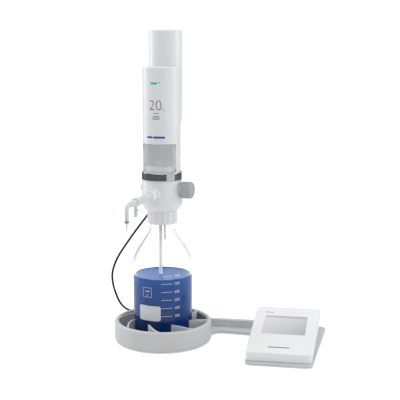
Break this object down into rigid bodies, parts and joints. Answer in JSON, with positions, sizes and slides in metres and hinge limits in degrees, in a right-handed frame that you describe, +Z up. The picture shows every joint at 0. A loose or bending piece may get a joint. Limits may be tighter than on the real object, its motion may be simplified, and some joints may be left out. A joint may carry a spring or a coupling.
{
  "type": "bottle-top burette",
  "caption": "Motor-driven burette head on a glass lab bottle, with a finned round tray, a link arm and a sloping touch-screen control unit.",
  "frame": {"origin": "on the table, on the bottle's axis under the middle foot of the tray", "axes": "+Z up along the bottle's axis, -Y towards the user, +X from the bottle to the control unit"},
  "size_m": [0.3803, 0.2476, 0.5296],
  "materials": {
    "base_grey": "light grey moulding, fine texture",
    "rubber_feet": "black rubber",
    "unit_white": "white moulding, fine texture",
    "screen_glass": "pale grey screen behind a glossy film",
    "dark_part": "black moulding",
    "board_green": "circuit board",
    "steel": "plain steel",
    "clear_glass": "borosilicate glass",
    "seal_white": "PTFE",
    "collar_white": "translucent white polypropylene",
    "valve_white": "translucent white fluoropolymer",
    "head_white": "smooth white moulding",
    "window_clear": "clear acrylic",
    "ring_chrome": "polished steel",
    "knob_grey": "grey moulding",
    "arm_white": "translucent fluoropolymer",
    "tip_grey": "grey polypropylene",
    "tube_clear": "translucent tubing",
    "ball_ceramic": "ceramic ball",
    "brass_gear": "brass",
    "metal_grey": "plain aluminium",
    "motor_metal": "steel can",
    "cable_black": "black cable sheath"
  },
  "bodies": {
    "stand": {"bottle_tray": "base_grey", "link_plinth": "base_grey", "base_feet": "rubber_feet", "unit_shell": "unit_white", "unit_cover": "unit_white", "touch_panel": "screen_glass", "display_module": "dark_part", "control_board": "board_green", "unit_screws": "steel", "power_inlet": "dark_part", "data_socket": "dark_part", "bottle": "clear_glass", "lip_seal": "seal_white", "screw_collar": "collar_white", "base_socket": "dark_part", "cable_plug": "dark_part", "head_cable": "cable_black"},
    "head": {"valve_block": "valve_white", "vent_cap": "collar_white", "inlet_cage": "seal_white", "outlet_cage": "seal_white", "intake_sleeve": "tube_clear", "return_tube": "tube_clear", "arm_nut": "collar_white", "discharge_arm": "arm_white", "discharge_tube": "arm_white", "nozzle_nut": "tip_grey", "cannula": "tube_clear", "cap_holder": "arm_white", "clamp_ring": "ring_chrome", "clamp_screw": "steel", "front_housing": "head_white", "window_pane": "window_clear", "window_screws": "steel", "rear_housing": "head_white", "head_screws": "steel", "cable_gland": "dark_part", "drive_board": "board_green", "glass_cylinder": "clear_glass", "cylinder_oring": "dark_part", "lower_plate": "metal_grey", "guide_rods": "steel", "chassis_plate": "metal_grey", "spindle_bearing": "steel", "drive_motor": "motor_metal"},
    "piston_carriage": {"piston": "seal_white", "piston_seal": "seal_white", "piston_rod": "metal_grey", "carriage": "metal_grey", "spindle_nut": "brass_gear"},
    "spindle": {"lead_screw": "steel", "spindle_gear": "brass_gear"},
    "motor_rotor": {"motor_shaft": "steel", "motor_pinion": "steel"},
    "valve": {"valve_plug": "seal_white", "valve_knob": "knob_grey"},
    "parked_cap": {"tip_cap": "arm_white"},
    "inlet_check": {"inlet_ball": "ball_ceramic"},
    "outlet_check": {"outlet_ball": "ball_ceramic"},
    "lower_intake": {"intake_tube": "tube_clear"}
  },
  "joints": [
    {"name": "head_swivel", "type": "hinge", "parent": "stand", "child": "head", "pos_m": [0, 0, 0.2303], "axis": [0, 0, 1], "range_deg": [-60, 60], "deforming": ["head_cable"]},
    {"name": "spindle_spin", "type": "hinge", "parent": "head", "child": "spindle", "pos_m": [0, 0, 0.45], "axis": [0, 0, 1], "range_deg": [-3597.3, 0]},
    {"name": "piston_lift", "type": "slide", "parent": "head", "child": "piston_carriage", "axis": [0, 0, 1], "range_m": [0, 0.03997]},
    {"name": "motor_spin", "type": "hinge", "parent": "head", "child": "motor_rotor", "pos_m": [0.00333, 0.01891, 0.463], "axis": [0, 0, 1], "range_deg": [0, 7194.6]},
    {"name": "valve_turn", "type": "hinge", "parent": "head", "child": "valve", "pos_m": [0, 0, 0.2643], "axis": [0.9848, -0.1736, 0], "range_deg": [0, 90]},
    {"name": "cap_pull", "type": "slide", "parent": "head", "child": "parked_cap", "axis": [0, 0, -1], "range_m": [0, 0.03]},
    {"name": "inlet_lift", "type": "slide", "parent": "head", "child": "inlet_check", "axis": [0, 0, 1], "range_m": [0, 0.0015]},
    {"name": "outlet_lift", "type": "slide", "parent": "head", "child": "outlet_check", "axis": [-0.1736, -0.9848, 0], "range_m": [0, 0.0015]},
    {"name": "intake_slide", "type": "slide", "parent": "head", "child": "lower_intake", "axis": [0, 0, 1], "range_m": [0, 0.06]}
  ],
  "couplings": [
    {"joint": "spindle_spin", "follows": "piston_lift", "rad_per_m": -1570.8},
    {"joint": "motor_spin", "follows": "piston_lift", "rad_per_m": 3141.6}
  ]
}
